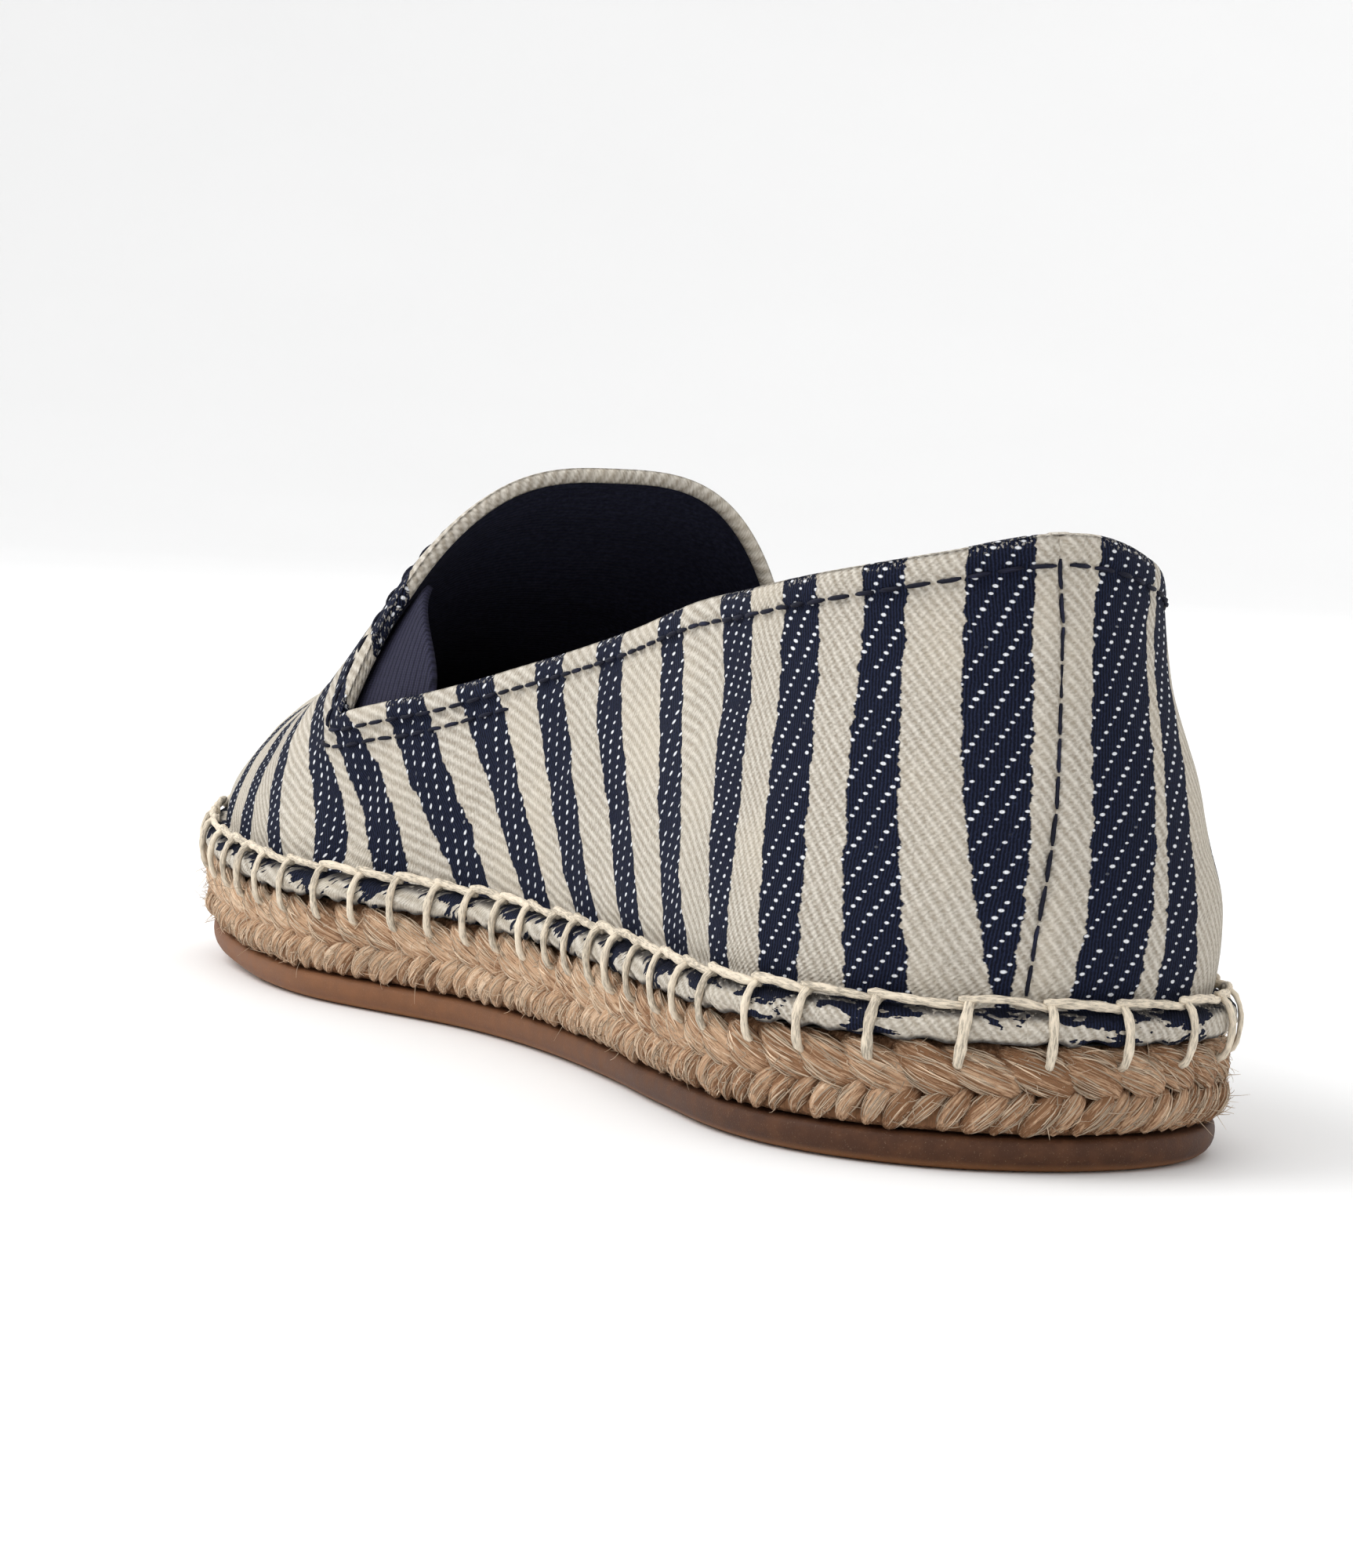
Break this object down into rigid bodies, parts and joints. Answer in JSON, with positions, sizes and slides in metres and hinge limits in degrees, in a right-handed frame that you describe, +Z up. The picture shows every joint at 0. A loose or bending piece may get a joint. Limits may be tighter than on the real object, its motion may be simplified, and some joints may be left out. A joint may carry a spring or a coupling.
{
  "type": "espadrille",
  "caption": "Flat slip-on right shoe: hollow striped canvas upper with a rounded tongue and elastic gores, on a plaited rope sole with a thin rubber outsole.",
  "frame": {"origin": "on the floor, under the middle of the shoe's outer box", "axes": "+Z up, the heel towards +Y and the toe towards -Y, the inner side of the foot towards +X"},
  "size_m": [0.0836, 0.2508, 0.0749],
  "materials": {
    "rubber": "matt gum rubber",
    "jute": "plaited jute rope",
    "footbed": "woven footbed",
    "canvas": "off-white cotton twill with navy stripes",
    "elastic": "ribbed navy elastic",
    "gilt": "polished gold colour"
  },
  "bodies": {
    "root": {"outsole": "rubber", "rope_sole": "jute", "insole": "footbed", "upper": "canvas", "gore_medial": "elastic", "gore_lateral": "elastic", "side_tag": "gilt"}
  },
  "joints": []
}
